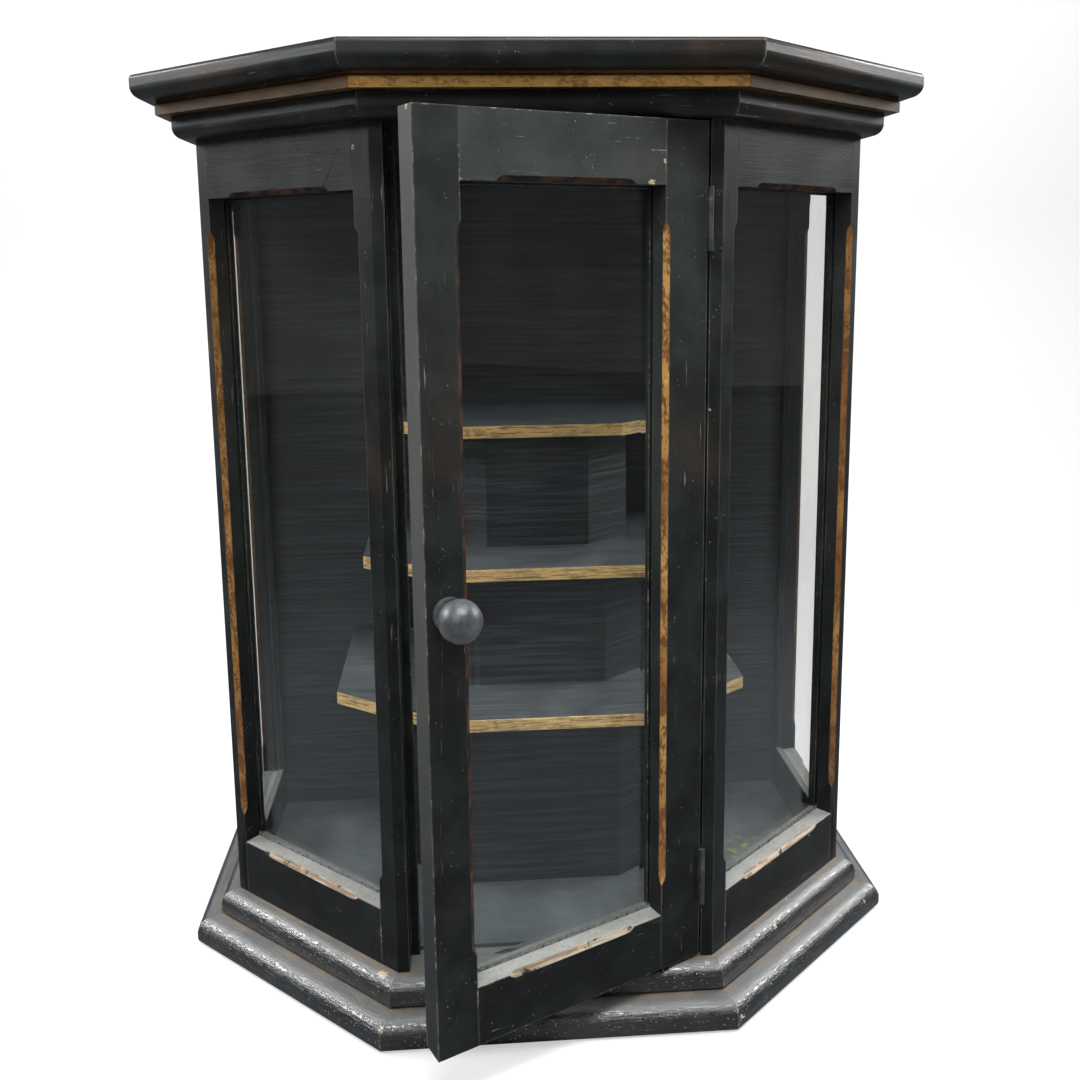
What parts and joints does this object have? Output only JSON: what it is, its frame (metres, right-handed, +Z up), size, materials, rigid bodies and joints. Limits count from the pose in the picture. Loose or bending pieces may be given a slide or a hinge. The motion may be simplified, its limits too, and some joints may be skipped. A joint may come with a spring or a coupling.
{
  "type": "glazed display cabinet",
  "caption": "Table-top glazed display cabinet with a canted front, a hinged framed door, bevelled panes, moulded base and cornice, and a stepped stand inside",
  "frame": {"origin": "on the resting plane, midway across and midway between the case's front and back faces", "axes": "+Z up, the glazed front and its door towards -Y, the cabinet's right-hand side seen from the front at +X"},
  "size_m": [0.696, 0.4468, 0.815],
  "materials": {
    "ebony": "ebonised black paint over hardwood, satin, worn at the edges",
    "gilt": "old gilding over painted wood, rubbed and toned",
    "stand": "dark stained boards under a film of dust",
    "glass": "clear plate glass, bevelled edges",
    "iron": "black painted iron, satin"
  },
  "bodies": {
    "cabinet": {"plinth_board": "ebony", "base_lower_front": "ebony", "base_lower_cant_left": "ebony", "base_lower_cant_right": "ebony", "base_lower_sides": "ebony", "base_board": "ebony", "base_upper_mouldings": "ebony", "floor_board": "stand", "front_post_left": "ebony", "front_post_right": "ebony", "corner_post_left": "ebony", "corner_post_right": "ebony", "back_post_left": "ebony", "back_post_right": "ebony", "cant_rail_bottom_left": "ebony", "cant_rail_bottom_right": "ebony", "cant_rail_top_left": "ebony", "cant_rail_top_right": "ebony", "side_rail_bottom_left": "ebony", "side_rail_bottom_right": "ebony", "side_rail_top_left": "ebony", "side_rail_top_right": "ebony", "back_boards": "ebony", "cant_glass_left": "glass", "cant_glass_right": "glass", "side_glass_left": "glass", "side_glass_right": "glass", "cant_beads": "ebony", "side_beads": "ebony", "ceiling_board": "ebony", "bed_mouldings": "ebony", "cornice_board": "ebony", "gilt_band": "gilt", "top_board": "ebony", "top_moulding_front": "ebony", "top_moulding_cant_left": "ebony", "top_moulding_cant_right": "ebony", "top_moulding_sides": "ebony", "hinge_post_leaf_top": "iron", "hinge_post_leaf_bottom": "iron", "hinge_pins": "iron", "hinge_post_screws": "iron", "shelf_bottom": "stand", "shelf_middle": "stand", "shelf_top": "stand", "riser_lower": "stand", "riser_middle": "stand", "riser_upper": "stand"},
    "door": {"door_lock_stile": "ebony", "door_hinge_stile": "ebony", "door_top_rail": "ebony", "door_bottom_rail": "ebony", "door_glass": "glass", "door_beads": "ebony", "hinge_door_leaf_top": "iron", "hinge_door_leaf_bottom": "iron", "hinge_door_screws": "iron"},
    "latch": {"door_knob": "iron", "latch_tongue": "iron"}
  },
  "joints": [
    {"name": "door_hinge", "type": "hinge", "parent": "cabinet", "child": "door", "pos_m": [0.1271, -0.1568, 0.40475], "axis": [0, 0, 1], "range_deg": [-26.25, 88.75]},
    {"name": "knob_turn", "type": "hinge", "parent": "door", "child": "latch", "pos_m": [-0.08525, -0.2584, 0.40475], "axis": [-0.4423, 0.8969, 0], "range_deg": [0, 90]}
  ]
}
